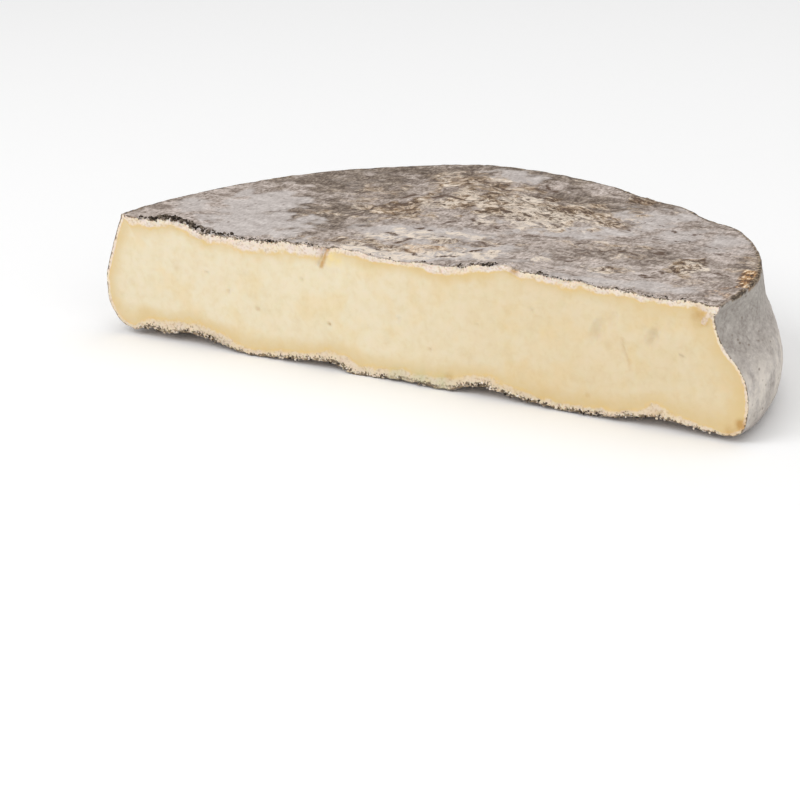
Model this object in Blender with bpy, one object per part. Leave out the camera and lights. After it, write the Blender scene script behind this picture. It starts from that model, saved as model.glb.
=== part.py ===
"""Half of a washed-rind mountain cheese: one solid, lying on its base with the knife cut facing -Y.

The wheel is a low drum with a crisp upper rim, a side that bulges between rim and base, and a
rounded lower edge. It has ripened and slumped, so the right end of the cut leans out over its foot
while the left end keeps a plain barrel curve. Shapes are worked out in millimetres in the wheel's
own coordinates (axis at X = Y = 0) and placed in metres, with the origin in the middle of the base.
"""

import math

import bmesh
import bpy
from mathutils import Vector, noise

MM = 0.001

# Driving dimensions, in millimetres
RIM_RADIUS = 100.0
WHEEL_HEIGHT = 38.6
CUT_Y = -4.5
ORIGIN_X = 1.4
ORIGIN_Y = 50.8

# Cells of the solid's skin: along the cut, from the cut to the back, and from base to top
CELLS_ALONG = 72
CELLS_DEEP = 21
CELLS_HIGH = 13
DEEP_CROWDING = 1.55
HIGH_CROWDING = 0.55

# The upper rim, by degrees round the wheel from the right end of the cut: how far it stands out
# from the rim radius, fading to nothing at the base, and how high it lies
RIM_REACH = (
    (0, 0.5), (17, 3.0), (32, 2.2), (43, 1.7), (54, -1.2), (61, -0.6), (69, -1.7),
    (82, 0.2), (105, 0.6), (150, -0.1), (180, 0.8),
)
RIM_LEVEL = (
    (0, 38.7), (22, 39.2), (43, 38.5), (54, 37.6), (61, 37.9), (69, 37.4), (82, 38.4), (94, 39.5),
    (105, 40.3), (125, 39.3), (145, 38.8), (162, 38.4), (180, 38.6),
)

# The side's outline below the rim: shares of the height, and for four directions round the wheel
# how far the side stands out past the rim at each share
SIDE_SHARES = (0.0, 0.04, 0.12, 0.26, 0.42, 0.55, 0.66, 0.78, 0.90, 1.0)
SIDE_REACH = (
    (0, (6.1, 8.0, 9.2, 9.5, 8.5, 6.0, 2.3, -0.3, -1.5, 0.0)),
    (24, (4.3, 6.9, 8.9, 9.2, 7.8, 5.6, 3.2, 1.9, 0.9, 0.0)),
    (100, (-1.5, 1.0, 3.6, 5.6, 6.3, 5.6, 4.2, 2.6, 1.0, 0.0)),
    (180, (-2.0, 1.5, 4.4, 6.9, 7.2, 6.2, 4.8, 3.1, 1.3, 0.0)),
)

# The cut's upper edge (place along the cut, height) and its lower edge (place, lift off the table)
UPPER_EDGE = (
    (-101, 38.6), (-91, 38.0), (-82, 39.1), (-68, 36.6), (-54, 36.9), (-38, 38.0),
    (-28, 37.6), (-20, 38.8), (-3, 37.3), (8, 37.7), (22, 39.0), (34, 41.0),
    (46, 39.8), (62, 39.2), (80, 38.5), (93, 38.9), (100, 38.6),
)
LOWER_EDGE = (
    (-104, 1.4), (-98, 1.9), (-91, 3.4), (-86, 2.6), (-76, 3.8), (-64, 1.9),
    (-54, 0.3), (-43, 1.1), (-26, 2.5), (-16, 0.0), (0, 1.0), (14, 0.5),
    (26, 3.4), (36, 2.0), (52, 0.8), (64, 1.0), (84, 3.4), (98, 2.0), (106, 1.9),
)
UPPER_EDGE_FADE = 11.0
LOWER_EDGE_REACH = 15.0
BASE_ROUNDING = 1.3
BASE_ROUNDING_FROM = 20.0
BASE_FLAT_SHARE = 0.86
BASE_CLEARANCE = 0.8
TOP_SAG = 0.9
TOP_FLAT_SHARE = 0.45

# Relief: height of the low swells and of the torn crust along the cut, with their spacing
SWELL = 0.45
SWELL_SPACING = 26.0
FACE_SWELL = 0.5
FACE_SPACING = 19.0
CRUST_TEAR = 0.75
CRUST_CRUMBLE = 0.45
CRUST_SPACING = 3.4
CRUST_BAND = 3.2

# The heaped crumbs on the upper edge and the short split below it
CRUMB_RIDGE_FROM, CRUMB_RIDGE_TO = -92.0, -64.0
CRUMB_RIDGE_FADE = 8.0
CRUMB_RIDGE_HEIGHT = 1.1
CRUMB_RIDGE_BEHIND, CRUMB_RIDGE_WIDTH = 1.2, 2.2
CRUMB_SPACING = 2.6
SPLIT_TOP_X, SPLIT_FOOT_X = -27.5, -30.0
SPLIT_LENGTH = 6.0
SPLIT_WIDTH = 1.6
SPLIT_DEPTH = 1.5
SPLIT_NARROWING = 0.87
SPLIT_SHALLOWING = 0.6

# Blender's noise reaches about 0.6 either way; this brings it to about 1
NOISE_GAIN = 1.6

RIND_COLOUR = (0.42, 0.38, 0.34, 1.0)
PASTE_COLOUR = (0.86, 0.74, 0.50, 1.0)


def through(points, x):
    """A smooth curve through the points that never swings past them."""
    if x <= points[0][0]:
        return points[0][1]
    if x >= points[-1][0]:
        return points[-1][1]
    i = next(n for n in range(len(points) - 1) if x <= points[n + 1][0])
    (x0, y0), (x1, y1) = points[i], points[i + 1]
    span = x1 - x0
    here = (y1 - y0) / span

    def slope(before, after, is_end):
        if is_end or before * after <= 0.0:
            return 0.0
        return 2.0 * before * after / (before + after)

    def steepness(n):
        (xa, ya), (xb, yb) = points[n], points[n + 1]
        return (yb - ya) / (xb - xa)

    start = slope(steepness(i - 1) if i > 0 else 0.0, here, i == 0)
    last = i == len(points) - 2
    end = slope(here, steepness(i + 1) if not last else 0.0, last)
    t = (x - x0) / span
    return (
        y0 * (1 + 2 * t) * (1 - t) ** 2
        + y1 * t * t * (3 - 2 * t)
        + start * span * t * (1 - t) ** 2
        - end * span * t * t * (1 - t)
    )


def ease(low, high, x):
    """0 below low, 1 above high, and a smooth rise between."""
    t = min(1.0, max(0.0, (x - low) / (high - low)))
    return t * t * (3 - 2 * t)


def ripple(x, y, z, spacing, seed):
    """Smooth noise from about -1 to 1, with bumps about spacing millimetres apart."""
    spot = Vector((x / spacing + seed, y / spacing - seed, z / spacing + 2 * seed))
    return NOISE_GAIN * noise.noise(spot)


def side_reach(degrees, share):
    """How far the side stands out past the rim, at a share of the height."""
    round_the_wheel = [
        (direction, through(tuple(zip(SIDE_SHARES, reaches)), share))
        for direction, reaches in SIDE_REACH
    ]
    return through(round_the_wheel, degrees)


def top_level(x, y, degrees, out):
    """Height of the top rind: its sagging middle, its rim, and the edge left by the knife."""
    swell = SWELL * ripple(x, y, 0.0, SWELL_SPACING, 3.1)
    middle = WHEEL_HEIGHT - TOP_SAG + swell
    rim = through(RIM_LEVEL, degrees)
    field = middle + (rim - middle) * ease(TOP_FLAT_SHARE, 1.0, out)
    near_cut = math.exp(-(((y - CUT_Y) / UPPER_EDGE_FADE) ** 2))
    return field + (through(UPPER_EDGE, x) - field) * near_cut


def base_level(x, y, out):
    """Height of the underside: flat on the table, lifted at the cut and rounded at the rim."""
    near_cut = 1.0 - ease(0.0, LOWER_EDGE_REACH, y - CUT_Y)
    behind_cut = ease(0.0, BASE_ROUNDING_FROM, y - CUT_Y)
    rounding = BASE_ROUNDING * ease(BASE_FLAT_SHARE, 1.0, out) * behind_cut
    return through(LOWER_EDGE, x) * near_cut + rounding


def split_depth(x, z, crest):
    """How far the short split in the paste pushes the cut face in."""
    down = (crest - z) / SPLIT_LENGTH
    if down > 1.0:
        return 0.0
    middle = SPLIT_TOP_X + (SPLIT_FOOT_X - SPLIT_TOP_X) * down
    open_width = SPLIT_WIDTH * (1.0 - SPLIT_NARROWING * down)
    depth = SPLIT_DEPTH * (1.0 - SPLIT_SHALLOWING * down)
    return depth * math.exp(-(((x - middle) / open_width) ** 2))


def cut_face_y(x, z, floor, crest):
    """Depth of the cut face: a slightly wavy knife cut with a torn crust at its two edges."""
    wave = FACE_SWELL * ripple(x, 7.0, z, FACE_SPACING, 8.4)
    from_edge = min(z - floor, crest - z)
    torn = 1.0 - ease(0.0, CRUST_BAND, from_edge)
    tear = CRUST_TEAR * torn * ripple(x, 0.0, z, CRUST_SPACING, 5.7)
    return CUT_Y + wave + tear + split_depth(x, z, crest)


def crust_crumble(x, y, seed):
    """Up and down of the broken crust at the cut, fading away from it."""
    near = math.exp(-(((y - CUT_Y) / CRUST_BAND) ** 2))
    return CRUST_CRUMBLE * near * ripple(x, y, 0.0, CRUST_SPACING, seed)


def crumb_ridge(x, y):
    """The low ridge of heaped crumbs on the left of the upper edge."""
    rise = ease(CRUMB_RIDGE_FROM, CRUMB_RIDGE_FROM + CRUMB_RIDGE_FADE, x)
    fall = 1.0 - ease(CRUMB_RIDGE_TO - CRUMB_RIDGE_FADE, CRUMB_RIDGE_TO, x)
    across = math.exp(-(((y - CUT_Y - CRUMB_RIDGE_BEHIND) / CRUMB_RIDGE_WIDTH) ** 2))
    heap = 0.6 + 0.4 * ripple(x, y, 0.0, CRUMB_SPACING, 1.3)
    return CRUMB_RIDGE_HEIGHT * rise * fall * across * heap


def place(a, b, c):
    """Millimetre position in the wheel of the skin point that lies at a, b, c (-1 to 1) on a cube."""
    u = a
    v = ((b + 1.0) / 2.0) ** DEEP_CROWDING
    w = (c + 1.0) / 2.0
    w += HIGH_CROWDING * w * (1.0 - w) * (2.0 * w - 1.0)
    across, deep = u * math.sqrt(1.0 - v * v / 2.0), v * math.sqrt(1.0 - u * u / 2.0)
    out = min(1.0, math.hypot(across, deep))
    degrees = math.degrees(math.atan2(deep, across))
    radius = RIM_RADIUS + w * through(RIM_REACH, degrees) + side_reach(degrees, w)
    x = across * radius
    y = CUT_Y + deep * (radius - CUT_Y)
    if b > 0.999 or abs(a) > 0.999:
        swell = SWELL * math.sin(math.pi * w) * ripple(x, y, WHEEL_HEIGHT * w, SWELL_SPACING, 4.9)
        x += across * swell
        y += deep * swell
    floor = base_level(x, y, out)
    crest = top_level(x, y, degrees, out)
    if c > 0.999:
        return x, y, crest + crust_crumble(x, y, 2.2) + crumb_ridge(x, y)
    if c < -0.999:
        return x, y, max(0.0, floor + crust_crumble(x, y, 6.1) * ease(0.0, BASE_CLEARANCE, floor))
    z = floor + (crest - floor) * w
    if b < -0.999:
        y = cut_face_y(x, z, floor, crest)
    return x, y, z


def cell_cube():
    """A cube of side 2 whose faces are cut into the skin's cells."""
    mesh = bmesh.new()
    bmesh.ops.create_cube(mesh, size=2.0)
    for axis, cells in enumerate((CELLS_ALONG, CELLS_DEEP, CELLS_HIGH)):
        edges = [
            e for e in mesh.edges
            if abs((e.verts[0].co - e.verts[1].co)[axis]) > 1.9
        ]
        bmesh.ops.subdivide_edges(mesh, edges=edges, cuts=cells - 1, use_grid_fill=True)
    return mesh


def lay_flat_base(mesh):
    """Joins the cells that lie flat on the table into few faces."""
    flat = [f for f in mesh.faces if all(abs(v.co.z) < 1e-7 for v in f.verts)]
    bmesh.ops.dissolve_limit(
        mesh,
        angle_limit=math.radians(0.5),
        verts=list({v for f in flat for v in f.verts}),
        edges=list({e for f in flat for e in f.edges}),
    )
    bmesh.ops.triangulate(mesh, faces=mesh.faces[:])


def matter(name, colour, roughness):
    """A matt material of one colour."""
    material = bpy.data.materials.new(name)
    material.use_nodes = True
    shader = material.node_tree.nodes["Principled BSDF"]
    shader.inputs["Base Color"].default_value = colour
    shader.inputs["Roughness"].default_value = roughness
    shader.inputs["Metallic"].default_value = 0.0
    return material


def cheese_half(collection):
    """The half wheel as one closed solid, rind outside and paste on the cut."""
    mesh = cell_cube()
    on_cut = {f.index for f in mesh.faces if f.calc_center_median().y < -0.999}
    for face in mesh.faces:
        face.material_index = 1 if face.index in on_cut else 0
    for vertex in mesh.verts:
        x, y, z = place(*vertex.co)
        vertex.co = Vector(((x - ORIGIN_X) * MM, (y - ORIGIN_Y) * MM, z * MM))
    lay_flat_base(mesh)
    bmesh.ops.recalc_face_normals(mesh, faces=mesh.faces[:])
    data = bpy.data.meshes.new("cheese_half")
    mesh.to_mesh(data)
    mesh.free()
    data.materials.append(matter("grey_mould_rind", RIND_COLOUR, 0.9))
    data.materials.append(matter("ripe_paste", PASTE_COLOUR, 0.45))
    data.shade_smooth()
    data.set_sharp_from_angle(angle=math.radians(40))
    half = bpy.data.objects.new("cheese_half", data)
    collection.objects.link(half)
    return half


def main():
    for old in list(bpy.data.objects):
        bpy.data.objects.remove(old, do_unlink=True)
    collection = bpy.data.collections.new("cheese")
    bpy.context.scene.collection.children.link(collection)
    cheese_half(collection)


main()
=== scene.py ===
"""Half a wheel of ripe saint-nectaire: grey mouldy rind, torn crust along the cut, pale paste.

Run as a script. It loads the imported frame, builds the fine surface of the half wheel with the crust
crumbs along its cut, gives them their materials, and sets the floor, the lights and the camera.
"""

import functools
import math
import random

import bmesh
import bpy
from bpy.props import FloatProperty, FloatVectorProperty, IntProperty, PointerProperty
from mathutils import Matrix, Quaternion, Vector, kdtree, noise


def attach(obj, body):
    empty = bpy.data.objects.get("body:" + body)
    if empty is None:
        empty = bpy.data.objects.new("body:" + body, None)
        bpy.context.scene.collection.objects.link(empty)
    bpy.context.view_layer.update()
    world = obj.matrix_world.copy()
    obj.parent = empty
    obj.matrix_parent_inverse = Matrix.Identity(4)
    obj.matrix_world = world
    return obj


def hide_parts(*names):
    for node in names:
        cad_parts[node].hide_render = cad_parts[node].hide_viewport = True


bl_info = {
    "name": "Half Wheel Cheese",
    "version": (1, 0, 0),
    "blender": (4, 5, 0),
    "location": "3D View > Sidebar > Cheese",
    "description": "Builds half a mould-ripened mountain cheese and its studio",
    "category": "Object",
}

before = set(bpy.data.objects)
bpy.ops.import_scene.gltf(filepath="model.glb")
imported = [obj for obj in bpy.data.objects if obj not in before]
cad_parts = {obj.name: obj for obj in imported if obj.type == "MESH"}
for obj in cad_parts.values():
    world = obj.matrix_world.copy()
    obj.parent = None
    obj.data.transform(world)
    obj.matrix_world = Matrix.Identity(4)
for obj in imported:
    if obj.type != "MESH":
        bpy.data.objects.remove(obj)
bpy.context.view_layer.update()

MM = 0.001

# The wheel, in millimetres, with its axis at X = Y = 0 and the knife cut on the plane Y = CUT_Y
RIM_RADIUS = 100.0
WHEEL_HEIGHT = 38.6
CUT_Y = -4.5
ORIGIN_X = 1.4
ORIGIN_Y = 50.8

# The upper rim, by degrees round the wheel from the right end of the cut: how far it stands out
# from the rim radius, fading to nothing at the base, and how high it lies
RIM_REACH = (
    (0, 0.5), (17, 3.0), (32, 2.2), (43, 1.7), (54, -1.2), (61, -0.6), (69, -1.7), (82, 0.2),
    (105, 0.6), (150, -0.1), (180, 0.8),
)
RIM_LEVEL = (
    (0, 38.7), (22, 39.2), (43, 38.5), (54, 37.6), (61, 37.9), (69, 37.4), (82, 38.4), (94, 39.5),
    (105, 40.3), (125, 39.3), (145, 38.8), (162, 38.4), (180, 38.6),
)

# The side's outline: shares of the height, and for four directions round the wheel how far the
# side stands out past the rim at each
SIDE_SHARES = (0.0, 0.04, 0.12, 0.26, 0.42, 0.55, 0.66, 0.78, 0.90, 1.0)
SIDE_REACH = (
    (0, (6.1, 8.0, 9.2, 9.5, 8.5, 6.0, 2.3, -0.3, -1.5, 0.0)),
    (24, (4.3, 6.9, 8.9, 9.2, 7.8, 5.6, 3.2, 1.9, 0.9, 0.0)),
    (100, (-1.5, 1.0, 3.6, 5.6, 6.3, 5.6, 4.2, 2.6, 1.0, 0.0)),
    (180, (-2.0, 1.5, 4.4, 6.9, 7.2, 6.2, 4.8, 3.1, 1.3, 0.0)),
)

# The cut's upper edge (place along the cut, height) and its lower edge (place, lift off the table)
UPPER_EDGE = (
    (-101, 38.6), (-91, 38.0), (-82, 39.1), (-68, 36.6), (-54, 36.9), (-38, 38.0), (-28, 37.6),
    (-20, 38.8), (-3, 37.3), (8, 37.7), (22, 39.0), (34, 41.0), (46, 39.8), (62, 39.2), (80, 38.5),
    (93, 38.9), (100, 38.6),
)
LOWER_EDGE = (
    (-104, 1.4), (-98, 1.9), (-91, 3.4), (-86, 2.6), (-76, 3.8), (-64, 1.9), (-54, 0.3), (-43, 1.1),
    (-26, 2.5), (-16, 0.0), (0, 1.0), (14, 0.5), (26, 3.4), (36, 2.0), (52, 0.8), (64, 1.0),
    (84, 3.4), (98, 2.0), (106, 1.9),
)
# How far behind the cut its edges still shape the top and the base
UPPER_EDGE_FADE = 11.0
LOWER_EDGE_REACH = 15.0
# The base is rounded towards the rim from a share of the radius on, and fully so only some way
# behind the cut
BASE_ROUNDING = 1.3
BASE_ROUNDING_FROM = 20.0
BASE_FLAT_SHARE = 0.86
# The top sags in the middle, out to a share of the radius
TOP_SAG = 0.9
TOP_FLAT_SHARE = 0.45
# Soft swellings of the rind and of the cut face: height and spacing
SWELL, SWELL_SPACING = 0.45, 26.0
FACE_SWELL, FACE_SPACING = 0.5, 19.0

# Cells of the fine skin: along the cut, from the cut to the back, and from base to top
CELLS_ALONG = 290
CELLS_DEEP = 88
CELLS_HIGH = 74
# How much the cells crowd together near the cut, and near the base and the top
DEEP_CROWDING = 1.3
HIGH_CROWDING = 0.45
# A cube of side 2 has its faces at -1 and 1; past this a point counts as on one of them
ON_FACE = 0.999

# The direction in which the mould was brushed and dried into streaks, seen from above
STREAK_DEGREES = 14.0

# Relief of the rind: the wrinkles are drawn out along the streaks
WRINKLE_SPACING, WRINKLE_STRETCH = 5.2, 0.55
WRINKLE_ALL_OVER = 0.22     # share of their height that is left where nothing is worn
DOWN_SPACING = 2.6
BLOOM_FILLS = 0.15          # how much of the wrinkles the bloom fills

# How ragged the rind's patches are: share of their size, spacing, and where they start and stop
FRAY, FRAY_SPACING = 0.7, 6.5
PATCH_CORE, PATCH_END = 0.35, 1.35

# What the skin's points carry for the materials, on the cut and on the rind
CUT_LAYERS = ("depth", "band", "crust", "brown", "green", "flap_highlight")
RIND_LAYERS = ("dull", "worn", "bloom", "cream_and_highlight", "ochre", "stroke", "rim", "side")

# Patches of the top rind, in millimetres from the half's own origin:
# (middle x, middle y, half length along the streaks, half width, strength)
BLOOM_PATCHES = (
    (-62, -42, 20, 16, 1.0), (-70, -22, 14, 13, 0.9), (-88, -35, 8, 9, 0.6), (-8, -27, 30, 9, 0.72),
    (10, -38, 24, 9, 0.8), (26, -5, 20, 7, 1.0), (44, 20, 16, 11, 0.8), (-14, 38, 9, 7, 0.8),
    (66, -50, 30, 5, 0.7), (80, 6, 20, 14, 0.6), (60, 4, 16, 10, 0.5), (60, -36, 14, 8, 0.3),
    (2, -50, 28, 6, 0.7),
)
DULL_PATCHES = (
    (-50, -24, 18, 22, 1.0), (-62, 12, 28, 16, 1.0), (-42, 33, 32, 12, 1.0), (-8, 45, 36, 8, 0.95),
    (58, -18, 18, 9, 0.6), (20, 26, 28, 13, 0.9), (36, -25, 24, 8, 0.4), (34, 40, 22, 8, 0.7),
    (-30, 12, 22, 12, 0.45), (-98, -38, 8, 9, 0.5), (88, -8, 9, 20, 0.3), (66, 22, 18, 7, 0.4),
    (91, -20, 7, 16, 0.6), (62, -22, 10, 7, 0.7),
)
WORN_PATCHES = (
    (-31, -9, 17, 13, 0.9), (-12, 9, 20, 14, 1.0), (12, 12, 24, 16, 1.0), (22, -2, 17, 9, 0.8),
    (76, -26, 4.5, 9, 1.4), (-2, -42, 28, 8, 0.8), (30, 38, 5, 5, 1.0), (48, -19, 16, 11, 0.45),
    (32, 13, 14, 12, 0.75), (-45, 2, 14, 14, 0.5), (91, -16, 7, 14, 0.45), (84, -38, 9, 7, 0.4),
    (0, -31, 24, 8, 0.6), (56, -37, 9, 6, 0.75), (-50, -22, 12, 14, 0.3), (-20, 27, 26, 11, 0.75),
    (-30, -47, 10, 5, 0.7),
)
# Cream patches: partly the cream colour of the scales, partly a painted highlight where light falls
# on their raised side
CREAM_AND_HIGHLIGHT_PATCHES = (
    (-24, 1, 16, 10, 0.95), (-6, 12, 18, 11, 1.2), (-14, 19, 20, 9, 0.85), (16, 3, 20, 10, 1.2),
    (-10, -51, 32, 6, 1.5), (10, -42, 26, 8, 1.1), (46, -12, 14, 7, 0.7), (-32, -14, 14, 9, 0.8),
    (6, 6, 24, 13, 1.1), (14, 20, 20, 10, 0.5), (76, -26, 7, 10, 1.3), (96, -30, 6, 10, 0.7),
    (-6, -30, 26, 8, 0.95), (54, -37, 9, 6, 0.9), (-30, 14, 12, 8, 0.5), (36, 14, 12, 9, 0.6),
    (66, -28, 10, 6, 0.4),
)
OCHRE_PATCHES = (
    (97, -29, 4, 11, 1.1), (76, -26, 6, 7, 0.4), (31, 39, 6, 4, 0.4), (-6, 12, 16, 9, 0.35),
    (-30, -8, 12, 8, 0.4), (87, 24, 4, 16, 0.6), (56, 47, 16, 3, 0.45), (12, 20, 18, 9, 0.35),
    (-4, -41, 16, 6, 0.5), (93, -44, 5, 6, 0.6),
)
# Dark strokes of bare crust on the top: (start x, start y, end x, end y, half width), and how far
# they are bent in x and in y
STROKE_BEND_X, STROKE_BEND_Y, STROKE_BEND_SPACING = 1.1, 1.6, 4.0
STROKES = (
    (-41, -20, -39, -15, 1.0), (-40, -13, -37, -6, 1.1), (-35, -7, -30, -7, 1.4),
    (-30, -7, -23, -9, 1.5), (-35, -5, -29, 1, 1.1), (-35, 2, -34, 8, 1.0), (-27, 7, -24, 11, 1.2),
    (-24, 11, -18, 10, 1.2), (-25, 30, -18, 25, 1.1), (-15, 18, -10, 15, 1.1), (-5, 2, 0, 0, 1.1),
    (1, 1, 9, 0, 1.3), (9, 1, 16, -2, 1.2), (-1, 35, 4, 31, 1.3), (12, 19, 19, 12, 1.2),
    (19, 18, 25, 15, 1.2), (19, 0, 29, -3, 1.1), (-12, -19, -8, -11, 1.0), (-5, -6, 0, -11, 1.1),
    (3, -11, 12, -12, 1.0), (17, -15, 23, -14, 1.0), (-12, -40, -10, -34, 1.2),
    (-29, -17, -26, -19, 1.3), (-12, -46, -11, -43, 0.9), (-16, -48, -12, -50, 1.0),
    (-28, -46, -28, -43, 1.0), (-5, 9, 2, 4, 1.3), (-25, 3, -20, 3, 1.0), (11, -40, 14, -34, 1.1),
    (6, -47, 11, -44, 1.2), (-7, -45, -1, -47, 1.2), (25, -39, 30, -37, 1.0),
    (52, -34, 57, -35, 1.0), (53, -41, 55, -35, 0.9), (27, 39, 31, 37, 1.6),
    (72, -21, 77, -18, 1.3), (77, -18, 80, -22, 1.3), (72, -28, 75, -32, 1.3),
    (75, -32, 79, -28, 1.2), (74, -24, 77, -26, 1.2), (70, -32, 72, -35, 1.1),
    (13, 16, 21, 11, 1.0), (-16, 26, -8, 24, 0.9), (0, 25, 8, 22, 1.1), (35, -16, 43, -16, 0.8),
    (41, -5, 50, -4, 0.7), (42, 14, 51, 14, 0.7), (46, -21, 53, -16, 0.9), (62, -24, 69, -25, 1.0),
    (66, -3, 76, -5, 0.8), (39, -34, 47, -31, 0.8), (84, -36, 91, -37, 0.8),
    (67, -39, 73, -39, 0.8), (82, -20, 88, -21, 0.8), (54, -2, 65, -1, 0.8),
    (39, -25, 44, -25, 0.8), (39, 5, 48, 7, 0.7), (55, 8, 65, 7, 0.7), (57, -12, 63, -13, 1.0),
    (61, -15, 67, -17, 1.0), (52, -19, 58, -21, 1.0), (-22, -33, -15, -32, 0.9),
    (-7, -28, 0, -29, 0.9), (7, -27, 15, -29, 0.9), (-16, -24, -9, -23, 0.9),
    (82, -28, 90, -29, 0.8), (76, -10, 84, -12, 0.7),
)
# Flakes of dark crust on the upper edge of the cut: (place along the cut, half length, crumb share)
FLAKES = (
    (19.0, 0.8, 1.1), (22.9, 0.7, 1.1), (28.8, 2.0, 1.15), (44.6, 0.8, 1.1), (48.5, 2.5, 0.6),
    (57.0, 3.5, 0.6), (70.5, 2.0, 0.8), (75.5, 2.5, 0.75), (81.5, 3.0, 0.75), (89.0, 2.5, 0.5),
)

# Dents in the paste, in millimetres on the cut: (x, z, radius, depth inwards). They lean to the
# right, are taller than wide, and have a low swelling round them
DENT_LEAN, DENT_WIDTH, DENT_HEIGHT = 0.35, 0.8, 1.5
DENT_RING, DENT_RING_AT, DENT_RING_NARROWNESS = 0.35, 1.3, 2.2
DENTS = (
    (62.0, 26.0, 2.6, 1.4), (79.0, 26.6, 2.1, 1.3), (66.0, 29.0, 2.2, 0.6), (85.0, 30.5, 2.4, 0.3),
    (73.5, 13.0, 2.4, 0.3), (35.8, 39.0, 1.2, 0.3), (-25.0, 34.6, 2.3, -0.7),
    (-62.4, 19.8, 1.0, 0.5), (-20.0, 24.0, 3.0, 0.2), (92.0, 14.0, 3.5, 0.3),
    (56.0, 30.0, 2.0, 0.3),
)
# Pits: (x, z)
PITS = (
    (-52.2, 15.4), (-26.5, 14.5), (7.8, 11.8), (-70.5, 24.2), (-3.0, 19.5), (41.0, 29.0),
    (88.0, 22.5), (-36.0, 27.0), (24.0, 22.0),
)
PIT_RADIUS, PIT_DEPTH = 0.45, 0.8
# The short split below the upper edge: its two ends, its size, and how much of its width and depth
# it loses on the way down
SPLIT_TOP_X, SPLIT_FOOT_X = -27.0, -29.6
SPLIT_LENGTH, SPLIT_WIDTH, SPLIT_DEPTH = 6.5, 0.8, 1.7
SPLIT_NARROWING, SPLIT_SHALLOWING = 0.87, 0.5
# The brown lines at the bottom of the split and of a hairline crack, on the cut
SPLIT_SEAM = ((-27.0, 37.8), (-28.2, 35.0), (-29.4, 31.8))
HAIRLINE = ((69.7, 24.8), (70.4, 21.5), (72.0, 19.0), (72.6, 16.4))
HAIRLINE_WIDTH, HAIRLINE_DEPTH = 0.35, 0.35
SEAM_WIDTH, SEAM_STRENGTH = 0.7, 1.2
HAIRLINE_TINT_WIDTH, HAIRLINE_TINT = 0.6, 0.35
# The knife dragged the paste along the cut
SMEAR_SPACING, SMEAR_STRETCH = 3.4, 0.35

# Widths of the pale crumbly band under the rind, by place along the cut, at its upper and its
# lower edge, and at the left and right ends
UPPER_BAND = (
    (-102, 3.0), (-94, 2.4), (-84, 1.9), (-67, 2.2), (-56, 3.3), (-44, 3.4), (-33, 2.9), (-25, 2.1),
    (-17, 1.6), (-2, 1.2), (12, 2.4), (24, 2.0), (30, 1.3), (39, 1.8), (48, 1.8), (55, 2.2),
    (66, 1.7), (82, 1.5), (93, 2.1), (99, 2.5),
)
LOWER_BAND = (
    (-102, 1.0), (-94, 2.4), (-84, 3.3), (-75, 3.3), (-65, 3.0), (-57, 2.1), (-44, 1.9), (-33, 2.1),
    (-26, 3.6), (-12, 2.7), (2, 2.6), (16, 3.2), (27, 2.9), (39, 2.1), (62, 1.8), (74, 1.7),
    (80, 3.3), (87, 1.8), (104, 1.0),
)
LEFT_BAND, RIGHT_BAND = 1.0, 0.95
# The lip of pale rind that curls over the paste in the upper right corner: a line on the cut
LIP = ((98.6, 37.2), (96.6, 36.6), (95.2, 35.2), (94.6, 33.4))
LIP_WIDTH, LIP_HEIGHT = 0.65, 0.7
LIP_BAND_CORE, LIP_BAND_SLOPE = 0.4, 0.5
# Widths of the torn dark crust outside the band, partly painted shadow along the cut's edges, wider
# at the lower edge
UPPER_CRUST_AND_SHADE = (
    (-96, 0.5), (-88, 0.3), (-66, 0.6), (-40, 0.65), (-16, 0.2), (10, 0.15), (34, 0.3), (48, 0.25),
    (56, 0.4), (90, 0.45), (98, 0.2),
)
LOWER_CRUST_AND_SHADE = (
    (-100, 0.5), (-90, 1.2), (-74, 1.3), (-60, 0.8), (-44, 0.9), (-26, 1.3), (-10, 1.0), (14, 1.3),
    (24, 1.1), (40, 0.7), (70, 0.9), (90, 0.6),
)
END_CRUST = 0.3
# Stains in the cut: (x, z, radius, strength), brown and of green mould; the two faint brown ones at
# the dents near x = 62 and x = 79 are painted shade in those hollows
BROWN_STAINS_AND_DENT_SHADE = (
    (35.8, 39.6, 1.2, 1.0), (106.2, 5.6, 1.5, 1.5), (103.0, 3.0, 2.0, 0.5),
    (-29.5, 34.0, 0.8, 0.25), (61.6, 24.8, 1.8, 0.2), (78.6, 25.2, 1.5, 0.2), (-76, 3.2, 0.8, 0.8),
    (14.0, 4.6, 1.4, 0.5), (80.5, 4.2, 2.0, 0.45), (93.0, 35.0, 2.8, 0.65), (59.3, 6.4, 0.7, 0.6),
    (-81.5, 25.0, 2.0, 0.22), (-49.0, 21.0, 2.4, 0.16), (-38.0, 14.0, 2.0, 0.16),
    (-26.5, 14.5, 0.55, 1.0), (-52.2, 15.4, 0.55, 1.0), (7.8, 11.8, 0.5, 0.5),
    (-62.8, 19.4, 0.8, 0.4), (-78.0, 23.5, 1.2, 0.2),
)
# Painted highlight on the raised flap of paste beside the split: (x, z, radius, strength)
FLAP_HIGHLIGHTS = ((-25.6, 35.0, 1.7, 0.9), (-23.6, 34.2, 2.2, 0.6), (-26.8, 33.2, 1.3, 0.7))
GREEN_STAINS = ((-3, 1.6, 3.2, 0.8), (5, 1.8, 3.6, 0.9), (12, 2.2, 3.0, 0.8))
# Crumbly lumps of the band: height, spacing, and how far the band as a whole stands out, as a share
# of the height; the wave of the band's inner edge; and how the lumps fade upwards between two
# heights, and towards both ends of the cut
BAND_LUMP, BAND_LUMP_SPACING, BAND_LUMP_BASE = 0.34, 1.7, 0.25
BAND_EDGE_WAVE, BAND_EDGE_SPACING = 0.3, 3.1
SMOOTH_FROM_Z, SMOOTH_TO_Z, SMOOTH_TOP = 14.0, 24.0, 0.85
SMOOTH_FROM_X, SMOOTH_TO_X, SMOOTH_ENDS = 92.0, 99.0, 0.8
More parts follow.
